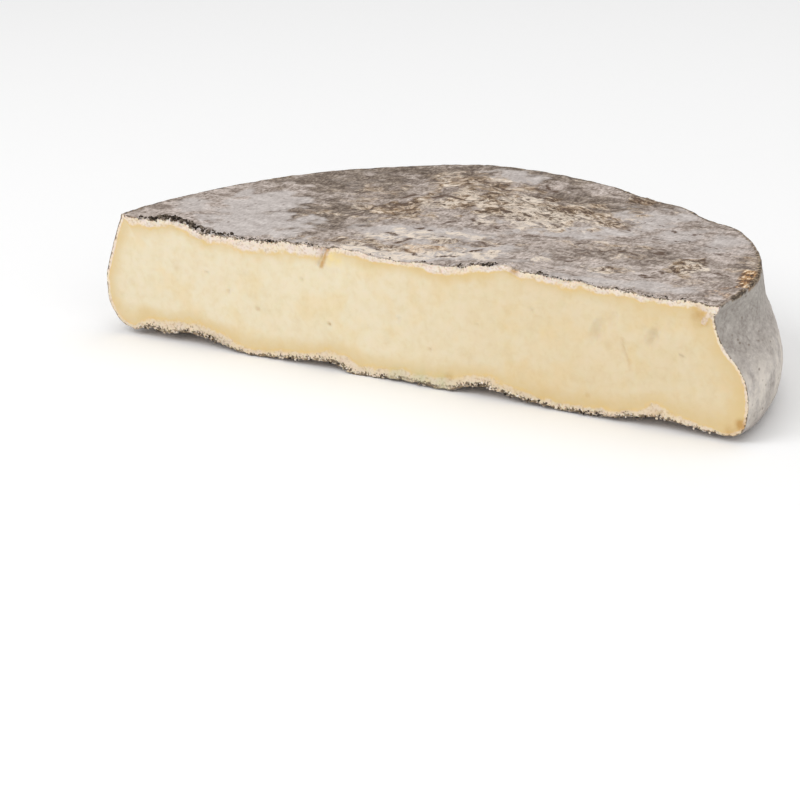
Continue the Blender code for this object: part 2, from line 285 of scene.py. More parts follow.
# The broken crust: how far it is torn inwards and up, the spacing and reach of that, and its finer
# ragged edge
CRUST_TEAR, CRUST_CRUMBLE, CRUST_SPACING, CRUST_BAND = 0.75, 0.45, 3.4, 3.2
RAGGED, RAGGED_SPACING, RAGGED_FADE = 0.25, 1.15, 1.6
# Seeds that keep the noise of the upper and the lower edge apart, and of the ragged edge from both
RAGGED_SEED_STEP = 4.0
UPPER_SEED, LOWER_SEED = 2.2, 6.1
# The base doesn't crumble where it lies on the table
LOW_CRUMBLE_FADE = 0.8
# The low ridge of crumbs heaped on the left of the upper edge
CRUMB_RIDGE_FROM, CRUMB_RIDGE_TO = -92.0, -64.0
CRUMB_RIDGE_FADE, CRUMB_RIDGE_HEIGHT = 8.0, 1.1
CRUMB_RIDGE_BEHIND, CRUMB_RIDGE_WIDTH = 1.2, 2.2
CRUMB_SPACING = 2.6

# Worn blotches of the side: they start past the right end, by degrees round the wheel, and their
# spacings, of their cream scales and of their ochre spots too
BLOTCH_FROM_DEGREES, BLOTCH_TO_DEGREES = 20.0, 60.0
BLOTCH_SPACING, SIDE_CREAM_SPACING, SIDE_OCHRE_SPACING = 24.0, 9.0, 13.0
SIDE_BLOOM = 0.85
# The dark brown line along the upper rim, painted shade where the rim turns away from the light, and
# the wear of the base
RIM_LINE_WIDTH = 1.8
BASE_WEAR = 0.4

# The library's noise reaches about 0.6 either way; this brings it to about 1
NOISE_GAIN = 1.6

# Loose crumbs: how they are shared out, and the lowest place for one at the lower edge; the dark ones
# at the lower edge partly stand in for the shadow under it
DARK_UPPER_SHARE, DARK_LOWER_SHARE = 0.75, 0.25
PALE_UPPER_SHARE, PALE_LOWER_SHARE = 0.35, 0.65
HEAPED_SHARE = 0.42
SPARSE_FROM_X = 30.0
FLAKE_CRUMBS, FLAKE_CRUMBS_PER_MM = 5, 9
LOWEST_CRUMB = 0.7
# Each grain is a lumpy ball, turned at random; the large ones have more faces
GRAIN_LUMP, GRAIN_LUMPS = 0.45, 2.3
LARGE_GRAIN = 1.2
ABOUT_A_TURN = 6.28

# Kinds of shader node
MATH, MIX, RANGE, RAMP = (
    "ShaderNodeMath", "ShaderNodeMix", "ShaderNodeMapRange", "ShaderNodeValToRGB")
NOISE, MAPPING, BUMP = "ShaderNodeTexNoise", "ShaderNodeMapping", "ShaderNodeBump"
COORDINATES, SEPARATE, ATTRIBUTE = (
    "ShaderNodeTexCoord", "ShaderNodeSeparateXYZ", "ShaderNodeAttribute")

# Patterns of the rind: (spacing in millimetres, detail, roughness, distortion)
RIND_PATTERNS = {
    "cloud": (15.0, 4.0, 0.55, 0.0),    # drifts of thicker mould, 1 to 2 cm across
    "flakes": (3.4, 6.0, 0.68, 0.6),    # flakes of dried mould, 3 to 6 mm long
    "speck": (0.8, 3.0, 0.65, 0.0),     # specks, really 0.2 mm: coarser so that they show
    "fibre": (2.8, 4.0, 0.6, 1.4),      # lines between fibres, really under 0.1 mm: coarser too
    "patchy": (6.5, 3.0, 0.7, 0.0),     # patches of lighter and darker mould
    "shards": (3.0, 5.0, 0.74, 1.1),    # scales and bare gaps of the worn crust, 2 to 5 mm long
}
# How the patterns are drawn out: a smaller share makes them longer that way
STREAK_STRETCH = (0.6, 0.9, 1.0)
SPECK_STRETCH = (0.9, 0.5, 0.8)
SIDE_STRETCH = (0.6, 0.6, 0.8)
SHARD_STRETCH = (0.6, 0.85, 1.0)
FAN_LEFT_X, FAN_RIGHT_X = -45.0, 40.0
FAN_LEFT_DEGREES, FAN_RIGHT_DEGREES = 30.0, -20.0
# Dots of spent mould are really 0.3 mm wide: drawn about twice as wide so that they show
DOT_SPACING = 1.9

# Patterns of the paste: (spacing in millimetres, detail, roughness, distortion)
PASTE_PATTERNS = {
    "cloud": (14.0, 4.0, 0.55, 0.0),    # riper and less ripe paste
    "smudge": (4.5, 5.0, 0.6, 0.0),     # smudges left by the knife
    "crumb": (1.9, 4.0, 0.62, 0.0),     # crumbs of the band, 1 to 2 mm
    "fine": (0.75, 2.0, 0.5, 0.0),      # grains of the band, really 0.3 mm: coarser to show
    "curd": (2.4, 2.0, 0.5, 0.6),       # curds pressed together, 2 to 3 mm
}
# The tone changes from one loose crumb to the next, about a millimetre on
CRUMB_GRAIN = 1.3

# The camera, in millimetres in the half's own frame, and its lens
CAMERA_AT = (369.7, -677.7, 249.7)
CAMERA_AIM = (-20.9, -24.6, -18.0)
CAMERA_ROLL_DEGREES = -0.74
LENS_MM, SENSOR_MM = 117.0, 36.0

# The studio, in metres: (name, place, point that it faces, side, power in watts)
LAMPS = (
    ("key", (-0.55, -0.9, 1.0), (0.0, 0.0, 0.02), 0.9, 7.6),
    ("fill", (0.9, -0.8, 0.6), (0.0, 0.0, 0.02), 1.0, 3.0),
    ("top", (0.1, 0.35, 1.2), (0.0, 0.0, 0.0), 1.0, 3.5),
)
WORLD_STRENGTH = 0.56
FLOOR_HALF_SIDE = 4.0
FARTHEST_SEEN = 20.0


def linear(colour):
    """A linear colour with alpha from an sRGB hex string."""
    parts = [int(colour[i:i + 2], 16) / 255.0 for i in (0, 2, 4)]
    return [c / 12.92 if c <= 0.04045 else ((c + 0.055) / 1.055) ** 2.4 for c in parts] + [1.0]


class CheeseSizes(bpy.types.PropertyGroup):
    """Depths of the surface relief of the half wheel."""

    wrinkle: FloatProperty(
        name="Rind wrinkle",
        description="Height of the rind's wrinkles where the mould has worn thin",
        default=0.42 * MM, unit="LENGTH", precision=5)
    down: FloatProperty(
        name="Mould down", description="Height of the soft mould's own unevenness",
        default=0.12 * MM, unit="LENGTH", precision=5)
    smear: FloatProperty(
        name="Knife smear", description="Height of the faint drag marks of the knife in the paste",
        default=0.09 * MM, unit="LENGTH", precision=5)
    rounding: IntProperty(
        name="Edge rounding", description="Smoothing passes over the rims and the edges of the cut",
        default=2, min=0, max=8)


class CheeseColours(bpy.types.PropertyGroup):
    """The colours that another cheese of the kind would change."""

    paste: FloatVectorProperty(
        name="Paste", description="Pale heart of the paste", subtype="COLOR", size=3,
        default=linear("e6dabf")[:3], min=0.0, max=1.0)
    golden: FloatVectorProperty(
        name="Golden paste", description="Riper paste close to the rind", subtype="COLOR", size=3,
        default=linear("d9bf8a")[:3], min=0.0, max=1.0)
    band: FloatVectorProperty(
        name="Under-rind", description="Pale crumbly band under the rind", subtype="COLOR", size=3,
        default=linear("e8dbcf")[:3], min=0.0, max=1.0)
    stroke: FloatVectorProperty(
        name="Crust", description="Dark brown crust that shows through the mould",
        subtype="COLOR", size=3,
        default=linear("5a4434")[:3], min=0.0, max=1.0)


class CrumbSizes(bpy.types.PropertyGroup):
    """How many crumbs of crust lie along the cut, and how large they are."""

    dark: IntProperty(
        name="Dark crumbs", description="Crumbs of dark outer crust", default=620, min=0, max=2000)
    pale: IntProperty(
        name="Pale crumbs", description="Crumbs of pale under-rind", default=420, min=0, max=2000)
    size: FloatProperty(
        name="Crumb size", description="Width of a middling crumb",
        default=0.62 * MM, unit="LENGTH", precision=5)


def through(points, x):
    """A smooth curve through the points that never swings past them."""
    if x <= points[0][0]:
        return points[0][1]
    if x >= points[-1][0]:
        return points[-1][1]
    i = next(n for n in range(len(points) - 1) if x <= points[n + 1][0])
    (x0, y0), (x1, y1) = points[i], points[i + 1]
    span = x1 - x0
    here = (y1 - y0) / span

    def slope(before, after, is_end):
        if is_end or before * after <= 0.0:
            return 0.0
        return 2.0 * before * after / (before + after)

    def steepness(n):
        (xa, ya), (xb, yb) = points[n], points[n + 1]
        return (yb - ya) / (xb - xa)

    start = slope(steepness(i - 1) if i > 0 else 0.0, here, i == 0)
    last = i == len(points) - 2
    end = slope(here, steepness(i + 1) if not last else 0.0, last)
    t = (x - x0) / span
    return (
        y0 * (1 + 2 * t) * (1 - t) ** 2
        + y1 * t * t * (3 - 2 * t)
        + start * span * t * (1 - t) ** 2
        - end * span * t * t * (1 - t)
    )


def ease(low, high, x):
    """0 below low, 1 above high, and a smooth rise between."""
    t = min(1.0, max(0.0, (x - low) / (high - low)))
    return t * t * (3 - 2 * t)


def ripple(x, y, z, spacing, seed):
    """Smooth noise from about -1 to 1, with bumps about spacing millimetres apart."""
    spot = Vector((x / spacing + seed, y / spacing - seed, z / spacing + 2 * seed))
    return NOISE_GAIN * noise.noise(spot)


def rough(x, y, z, spacing, seed, octaves):
    """Ragged noise from about -1 to 1 that keeps adding finer bumps to those of the spacing."""
    total, height, reach = 0.0, 1.0, 0.0
    for octave in range(octaves):
        total += height * ripple(x, y, z, spacing, seed + 1.7 * octave)
        reach += height
        height *= 0.55
        spacing *= 0.5
    return total / reach * 1.3


def half_frame(x, y, z):
    """The point of the frame, in metres, at millimetres in the wheel."""
    return Vector(((x - ORIGIN_X) * MM, (y - ORIGIN_Y) * MM, z * MM))


SIDE_CURVES = tuple((degrees, tuple(zip(SIDE_SHARES, reaches))) for degrees, reaches in SIDE_REACH)


@functools.lru_cache(maxsize=512)
def reach_at(share):
    """How far the side stands out past the rim at a share of the height, in its four directions."""
    return tuple((degrees, through(curve, share)) for degrees, curve in SIDE_CURVES)


def side_reach(degrees, share):
    """How far the side stands out past the rim, at a share of the height."""
    return through(reach_at(share), degrees)


def top_level(x, y, degrees, out):
    """Height of the top rind: its sagging middle, its rim, and the edge left by the knife."""
    middle = WHEEL_HEIGHT - TOP_SAG + SWELL * ripple(x, y, 0.0, SWELL_SPACING, seed=3.1)
    rim = through(RIM_LEVEL, degrees)
    field = middle + (rim - middle) * ease(TOP_FLAT_SHARE, 1.0, out)
    near_cut = math.exp(-(((y - CUT_Y) / UPPER_EDGE_FADE) ** 2))
    return field + (through(UPPER_EDGE, x) - field) * near_cut


def base_level(x, y, out):
    """Height of the underside: flat on the table, lifted at the cut and rounded at the rim."""
    near_cut = 1.0 - ease(0.0, LOWER_EDGE_REACH, y - CUT_Y)
    behind_cut = ease(0.0, BASE_ROUNDING_FROM, y - CUT_Y)
    rounding = BASE_ROUNDING * ease(BASE_FLAT_SHARE, 1.0, out) * behind_cut
    return through(LOWER_EDGE, x) * near_cut + rounding


def split_depth(x, z, crest):
    """How far the short split in the paste pushes the cut face in."""
    down = (crest - z) / SPLIT_LENGTH
    if down > 1.0:
        return 0.0
    middle = SPLIT_TOP_X + (SPLIT_FOOT_X - SPLIT_TOP_X) * down
    open_width = SPLIT_WIDTH * (1.0 - SPLIT_NARROWING * down)
    depth = SPLIT_DEPTH * (1.0 - SPLIT_SHALLOWING * down)
    return depth * math.exp(-(((x - middle) / open_width) ** 2))


def cut_face_y(x, z, floor, crest):
    """Depth of the cut face: a slightly wavy knife cut with a torn crust at its two edges."""
    wave = FACE_SWELL * ripple(x, 7.0, z, FACE_SPACING, seed=8.4)
    torn = 1.0 - ease(0.0, CRUST_BAND, min(z - floor, crest - z))
    tear = CRUST_TEAR * torn * ripple(x, 0.0, z, CRUST_SPACING, seed=5.7)
    return CUT_Y + wave + tear + split_depth(x, z, crest)


def crust_crumble(x, y, seed):
    """Up and down of the broken crust at the cut, fading away from it."""
    near = math.exp(-(((y - CUT_Y) / CRUST_BAND) ** 2))
    very_near = math.exp(-(((y - CUT_Y) / RAGGED_FADE) ** 2))
    coarse = CRUST_CRUMBLE * near * ripple(x, y, 0.0, CRUST_SPACING, seed)
    return coarse + RAGGED * very_near * rough(
        x, y, 0.0, RAGGED_SPACING, seed + RAGGED_SEED_STEP, octaves=2)


def crumb_ridge(x, y):
    """The low ridge of heaped crumbs on the left of the upper edge."""
    rise = ease(CRUMB_RIDGE_FROM, CRUMB_RIDGE_FROM + CRUMB_RIDGE_FADE, x)
    fall = 1.0 - ease(CRUMB_RIDGE_TO - CRUMB_RIDGE_FADE, CRUMB_RIDGE_TO, x)
    across = math.exp(-(((y - CUT_Y - CRUMB_RIDGE_BEHIND) / CRUMB_RIDGE_WIDTH) ** 2))
    heap = 0.6 + 0.4 * ripple(x, y, 0.0, CRUMB_SPACING, seed=1.3)
    return CRUMB_RIDGE_HEIGHT * rise * fall * across * heap


def place(a, b, c):
    """Millimetres in the wheel of the skin point that lies at a, b, c (-1 to 1) on a cube."""
    u = a
    v = ((b + 1.0) / 2.0) ** DEEP_CROWDING
    w = (c + 1.0) / 2.0
    w += HIGH_CROWDING * w * (1.0 - w) * (2.0 * w - 1.0)
    across, deep = u * math.sqrt(1.0 - v * v / 2.0), v * math.sqrt(1.0 - u * u / 2.0)
    out = min(1.0, math.hypot(across, deep))
    degrees = math.degrees(math.atan2(deep, across))
    radius = RIM_RADIUS + w * through(RIM_REACH, degrees) + side_reach(degrees, w)
    x = across * radius
    y = CUT_Y + deep * (radius - CUT_Y)
    if b > ON_FACE or abs(a) > ON_FACE:
        swell = SWELL * math.sin(math.pi * w) * ripple(
            x, y, WHEEL_HEIGHT * w, SWELL_SPACING, seed=4.9)
        x += across * swell
        y += deep * swell
    floor = base_level(x, y, out)
    crest = top_level(x, y, degrees, out)
    if c > ON_FACE:
        return x, y, crest + crust_crumble(x, y, UPPER_SEED) + crumb_ridge(x, y)
    if c < -ON_FACE:
        crumble = crust_crumble(x, y, LOWER_SEED) * ease(0.0, LOW_CRUMBLE_FADE, floor)
        return x, y, max(0.0, floor + crumble)
    z = floor + (crest - floor) * w
    if b < -ON_FACE:
        y = cut_face_y(x, z, floor, crest)
    return x, y, z


def patches(spots, x, y, seed):
    """How strongly the patches cover a place on the rind, with frayed edges, from 0 to 1."""
    turn = math.radians(STREAK_DEGREES)
    fray = FRAY * rough(x, y, 0.0, FRAY_SPACING, seed, octaves=3)
    cover = 0.0
    for middle_x, middle_y, half_length, half_width, strength in spots:
        dx, dy = x - middle_x, y - middle_y
        along = dx * math.cos(turn) + dy * math.sin(turn)
        across = dy * math.cos(turn) - dx * math.sin(turn)
        far = math.hypot(along / half_length, across / half_width) + fray
        cover = max(cover, strength * (1.0 - ease(PATCH_CORE, PATCH_END, far)))
    return min(1.0, cover)


def far_from_line(line, x, z):
    """Distance in millimetres from a line through the points."""
    nearest = math.inf
    for (x0, z0), (x1, z1) in zip(line, line[1:]):
        long_x, long_z = x1 - x0, z1 - z0
        share = ((x - x0) * long_x + (z - z0) * long_z) / (long_x ** 2 + long_z ** 2)
        share = min(1.0, max(0.0, share))
        nearest = min(nearest, math.hypot(x - x0 - share * long_x, z - z0 - share * long_z))
    return nearest


def drawn_strokes(x, y):
    """How strongly the drawn dark strokes cover a place on the rind, from 0 to 1."""
    bend_x = STROKE_BEND_X * rough(x, y, 0.0, STROKE_BEND_SPACING, seed=3.3, octaves=2)
    bend_y = STROKE_BEND_Y * rough(x, y, 0.0, STROKE_BEND_SPACING, seed=8.1, octaves=2)
    x, y = x + bend_x, y + bend_y
    cover = 0.0
    for x0, y0, x1, y1, width in STROKES:
        far = far_from_line(((x0, y0), (x1, y1)), x, y) / width
        if far < 3.0:
            cover = max(cover, math.exp(-far * far))
    return cover


def rind_relief(x, y, z, worn, sizes):
    """Height of the rind's relief in metres: wrinkled where it is worn, soft down elsewhere."""
    turn = math.radians(STREAK_DEGREES)
    along = (x * math.cos(turn) + y * math.sin(turn)) * WRINKLE_STRETCH
    across = y * math.cos(turn) - x * math.sin(turn)
    scales = 1.0 - 2.0 * abs(rough(along, across, z, WRINKLE_SPACING, seed=2.9, octaves=3))
    wrinkle = sizes.wrinkle * (WRINKLE_ALL_OVER + (1.0 - WRINKLE_ALL_OVER) * worn) * scales
    down = sizes.down * rough(along, across, z, DOWN_SPACING, seed=7.7, octaves=3)
    return wrinkle + down


def stained(spots, x, z):
    """How strongly the stains cover a place on the cut, from 0 to 1."""
    cover = 0.0
    for spot_x, spot_z, radius, strength in spots:
        far = math.hypot(x - spot_x, z - spot_z) / radius
        if far < 2.5:
            cover = max(cover, strength * math.exp(-far * far))
    return cover


def band_here(point, ends):
    """Widths of the pale band and of the brown crust at a point of the cut's outline."""
    x, z = point.x / MM, point.z / MM
    if ends:
        return (LEFT_BAND if x < 0 else RIGHT_BAND), END_CRUST
    if z > WHEEL_HEIGHT / 2.0:
        return through(UPPER_BAND, x), through(UPPER_CRUST_AND_SHADE, x)
    return through(LOWER_BAND, x), through(LOWER_CRUST_AND_SHADE, x)


def paste_relief(x, z, band_share, sizes):
    """How far the cut's skin stands out, in metres: crumbly band, knife smears, dents and pits."""
    edge_wave = BAND_EDGE_WAVE * ripple(x, 0.0, z, BAND_EDGE_SPACING, seed=4.4)
    in_band = 1.0 - ease(0.6, 1.4, band_share + edge_wave)
    smoother = (1.0 - SMOOTH_TOP * ease(SMOOTH_FROM_Z, SMOOTH_TO_Z, z)) * (
        1.0 - SMOOTH_ENDS * ease(SMOOTH_FROM_X, SMOOTH_TO_X, abs(x)))
    lumps = BAND_LUMP * smoother * in_band * (
        BAND_LUMP_BASE + rough(x, 3.0, z, BAND_LUMP_SPACING, seed=6.6, octaves=3))
    smear = sizes.smear * rough(x * SMEAR_STRETCH, 5.0, z, SMEAR_SPACING, seed=9.1, octaves=3)
    inwards = 0.0
    for dent_x, dent_z, radius, dent_depth in DENTS:
        across, up = x - dent_x - DENT_LEAN * (z - dent_z), z - dent_z
        far = math.hypot(across / DENT_WIDTH, up / DENT_HEIGHT) / radius
        ring = DENT_RING * math.exp(-((far - DENT_RING_AT) * DENT_RING_NARROWNESS) ** 2)
        inwards += dent_depth * (math.exp(-far * far) - ring)
    for pit_x, pit_z in PITS:
        far = math.hypot(x - pit_x, z - pit_z) / PIT_RADIUS
        inwards += PIT_DEPTH * math.exp(-far * far)
    from_crack = far_from_line(HAIRLINE, x, z) / HAIRLINE_WIDTH
    inwards = max(inwards, HAIRLINE_DEPTH * math.exp(-(from_crack ** 2)))
    inwards -= LIP_HEIGHT * math.exp(-((far_from_line(LIP, x, z) / LIP_WIDTH) ** 4))
    return smear + (lumps - inwards) * MM


def cell_cube():
    """A cube of side 2 whose faces are cut into the skin's cells."""
    mesh = bmesh.new()
    bmesh.ops.create_cube(mesh, size=2.0)
    for axis, cells in enumerate((CELLS_ALONG, CELLS_DEEP, CELLS_HIGH)):
        edges = [e for e in mesh.edges if abs((e.verts[0].co - e.verts[1].co)[axis]) > 1.9]
        bmesh.ops.subdivide_edges(mesh, edges=edges, cuts=cells - 1, use_grid_fill=True)
    return mesh


def lay_flat_base(mesh):
    """Joins the cells that lie flat on the table into few faces."""
    flat = [f for f in mesh.faces if all(abs(v.co.z) < 1e-7 for v in f.verts)]
    bmesh.ops.dissolve_limit(
        mesh,
        angle_limit=math.radians(0.5),
        verts=list(dict.fromkeys(v for f in flat for v in f.verts)),
        edges=list(dict.fromkeys(e for f in flat for e in f.edges)),
    )


def linked(mesh_data, name, collection, materials):
    """A new object of the finished mesh, in the collection, with its materials."""
    for material in materials:
        mesh_data.materials.append(material)
    mesh_data.shade_smooth()
    piece = bpy.data.objects.new(name, mesh_data)
    collection.objects.link(piece)
    return piece


def search_tree(points):
    """A balanced tree that finds the nearest of the points."""
    tree = kdtree.KDTree(len(points))
    for number, point in enumerate(points):
        tree.insert(point, number)
    tree.balance()
    return tree


def cut_values(point, near_outline, widths, sizes):
    """What the paste's material reads at a point of the cut, and how far the skin stands out there.

    depth is the distance in millimetres from the cut's outline, band and crust the same in widths
    of the pale band and of the dark crust there, the crust partly painted shadow at the cut's edges;
    brown is brown stains and a little painted shade in two dents, green is stains of green mould,
    and flap_highlight is the painted highlight on the raised flap beside the split.
    """
    x, _, z = point / MM
    near = near_outline.find_n((point.x, 0.0, point.z), 5)
    depth = near[0][2] / MM
    band = sum(widths[number][0] for _, number, _ in near) / len(near)
    crust = sum(widths[number][1] for _, number, _ in near) / len(near)
    from_lip = far_from_line(LIP, x, z) / LIP_WIDTH
    from_seam = far_from_line(SPLIT_SEAM, x, z) / SEAM_WIDTH
    from_crack = far_from_line(HAIRLINE, x, z) / HAIRLINE_TINT_WIDTH
    seam = max(SEAM_STRENGTH * math.exp(-(from_seam ** 2)),
               HAIRLINE_TINT * math.exp(-(from_crack ** 2)))
    values = {
        "depth": depth,
        "band": min(depth / band, LIP_BAND_CORE + LIP_BAND_SLOPE * from_lip),
        "crust": depth / crust,
        "brown": max(seam, stained(BROWN_STAINS_AND_DENT_SHADE, x, z)),
        "green": stained(GREEN_STAINS, x, z),
        "flap_highlight": stained(FLAP_HIGHLIGHTS, x, z),
    }
    return values, paste_relief(x, z, depth / band, sizes)


def rind_values(point, is_top, rim):
    """What the rind's material reads at a point of the top or of the side.

    dull, worn, bloom, cream_and_highlight, ochre and stroke say how far the rind's patches cover the
    point, the cream ones partly a painted highlight on raised scales; rim is 1 on the upper rim, and
    side is 1 on the side.
    """
    x, y, z = point / MM
    ochre = patches(OCHRE_PATCHES, x, y, seed=4.9)
    if is_top:
        return {
            "dull": patches(DULL_PATCHES, x, y, seed=5.5),
            "worn": patches(WORN_PATCHES, x, y, seed=1.1),
            "bloom": patches(BLOOM_PATCHES, x, y, seed=2.3),
            "cream_and_highlight": patches(CREAM_AND_HIGHLIGHT_PATCHES, x, y, seed=3.7),
            "ochre": ochre,
            "stroke": drawn_strokes(x, y),
            "rim": rim,
        }
    degrees = math.degrees(math.atan2(y + ORIGIN_Y, x + ORIGIN_X))
    blotch = ease(BLOTCH_FROM_DEGREES, BLOTCH_TO_DEGREES, degrees) * ease(
        -0.15, 0.75, rough(x, y, z, BLOTCH_SPACING, seed=6.3, octaves=3))
    scales = ease(-0.3, 0.6, rough(x, y, z, SIDE_CREAM_SPACING, seed=8.8, octaves=2))
    spots = ease(0.1, 0.8, rough(x, y, z, SIDE_OCHRE_SPACING, seed=2.4, octaves=2))
    return {
        "dull": 0.6 * blotch,
        "worn": 0.9 * blotch,
        "bloom": SIDE_BLOOM - 0.6 * blotch,
        "cream_and_highlight": 0.75 * blotch * scales,
        "ochre": max(ochre * rim, 0.55 * blotch * spots),
        "rim": rim,
        "side": 1.0,
    }


def half_wheel(sizes):
    """The skin of the half wheel as one closed mesh, with what its materials read at each point."""
    mesh = cell_cube()
    for name in CUT_LAYERS + RIND_LAYERS:
        mesh.verts.layers.float.new(name)
    layers = {name: mesh.verts.layers.float[name] for name in CUT_LAYERS + RIND_LAYERS}
    on_cut = {v for v in mesh.verts if v.co.y < -ON_FACE}
    on_top = {v for v in mesh.verts if v.co.z > ON_FACE}
    on_base = {v for v in mesh.verts if v.co.z < -ON_FACE}
    on_side = {v for v in mesh.verts if v.co.y > ON_FACE or abs(v.co.x) > ON_FACE}
    for face in mesh.faces:
        face.material_index = 1 if face.calc_center_median().y < -ON_FACE else 0
    edges_to_round = [v for v in mesh.verts
                      if (v in on_cut) + (v in on_top) + (v in on_base) + (v in on_side) > 1]
    for vertex in mesh.verts:
        vertex.co = half_frame(*place(*vertex.co))

    rims = [v for v in edges_to_round if v in on_side and v not in on_cut]
    beside_rims = list(dict.fromkeys(e.other_vert(v) for v in rims for e in v.link_edges))
    for soft in (edges_to_round, beside_rims, edges_to_round, beside_rims)[:2 * sizes.rounding]:
        bmesh.ops.smooth_vert(mesh, verts=soft, factor=0.5,
                              use_axis_x=True, use_axis_y=True, use_axis_z=True)

    outline = [v for v in edges_to_round if v in on_cut]
    near_outline = search_tree([(v.co.x, 0.0, v.co.z) for v in outline])
    widths = [band_here(v.co, v in on_side) for v in outline]
    near_rim = search_tree([v.co for v in edges_to_round if v in on_top and v in on_side])
    mesh.normal_update()
    lifts = {}
    for vertex in mesh.verts:
        if vertex in on_cut:
            values, lifts[vertex] = cut_values(vertex.co, near_outline, widths, sizes)
        elif vertex in on_base:
            values = {"worn": BASE_WEAR}
        else:
            rim = math.exp(-((near_rim.find(vertex.co)[2] / MM / RIM_LINE_WIDTH) ** 2))
            values = rind_values(vertex.co, vertex in on_top, rim)
            wear = values["worn"] - BLOOM_FILLS * values["bloom"]
            lifts[vertex] = rind_relief(*(vertex.co / MM), wear, sizes)
        for name, value in values.items():
            vertex[layers[name]] = value
    for vertex, lift in lifts.items():
        vertex.co += vertex.normal * lift
        vertex.co.z = max(vertex.co.z, 0.0)

    lay_flat_base(mesh)
    bmesh.ops.recalc_face_normals(mesh, faces=mesh.faces[:])
    data = bpy.data.meshes.new("half_wheel_skin")
    mesh.to_mesh(data)
    mesh.free()
    return data


def crumb_heap(name, spots, size, seed):
    """One mesh of irregular crumbs, each a lumpy grain at its spot: (x, y, z, width share)."""
    draw = random.Random(seed)
    mesh = bmesh.new()
    for x, y, z, share in spots:
        fineness = 2 if share > LARGE_GRAIN else 1
        made = bmesh.ops.create_icosphere(mesh, subdivisions=fineness, radius=0.5)["verts"]
        stretch = Vector((draw.uniform(0.8, 1.7), draw.uniform(0.6, 1.1), draw.uniform(0.45, 0.9)))
        axis = (draw.gauss(0, 1), draw.gauss(0, 1), draw.gauss(0, 1))
        turn = Quaternion(axis, draw.uniform(0, ABOUT_A_TURN))
        shift = Vector((draw.uniform(0, 50), draw.uniform(0, 50), draw.uniform(0, 50)))
        for vertex in made:
            lump = 1.0 + GRAIN_LUMP * noise.noise(vertex.co * GRAIN_LUMPS + shift)
            point = Vector(a * b for a, b in zip(vertex.co * lump, stretch))
            vertex.co = half_frame(x, y, z) + turn @ point * size * share
    bmesh.ops.recalc_face_normals(mesh, faces=mesh.faces[:])
    data = bpy.data.meshes.new(name)
    mesh.to_mesh(data)
    mesh.free()
    return data


def add_node(tree, kind, inputs=None, output=0, stops=(), **settings):
    """Adds a node and gives one of its outputs.

    inputs are values or links by socket, stops a ramp's positions and colours, settings its own.
    """
    node = tree.nodes.new(kind)
    for name, value in settings.items():
        setattr(node, name, value)
    for name, value in (inputs or {}).items():
        socket = node.inputs[name]
        if isinstance(value, bpy.types.NodeSocket):
            tree.links.new(value, socket)
        else:
            socket.default_value = value
    if stops:
        ramp = node.color_ramp
        while len(ramp.elements) < len(stops):
            ramp.elements.new(0.5)
        for element, (position, colour) in zip(ramp.elements, stops):
            element.position = position
            element.color = linear(colour)
    return node.outputs[output]


def new_material(name):
    """An empty node material with its shader: (material, tree, shader)."""
    material = bpy.data.materials.new(name)
    material.use_nodes = True
    tree = material.node_tree
    return material, tree, tree.nodes["Principled BSDF"]


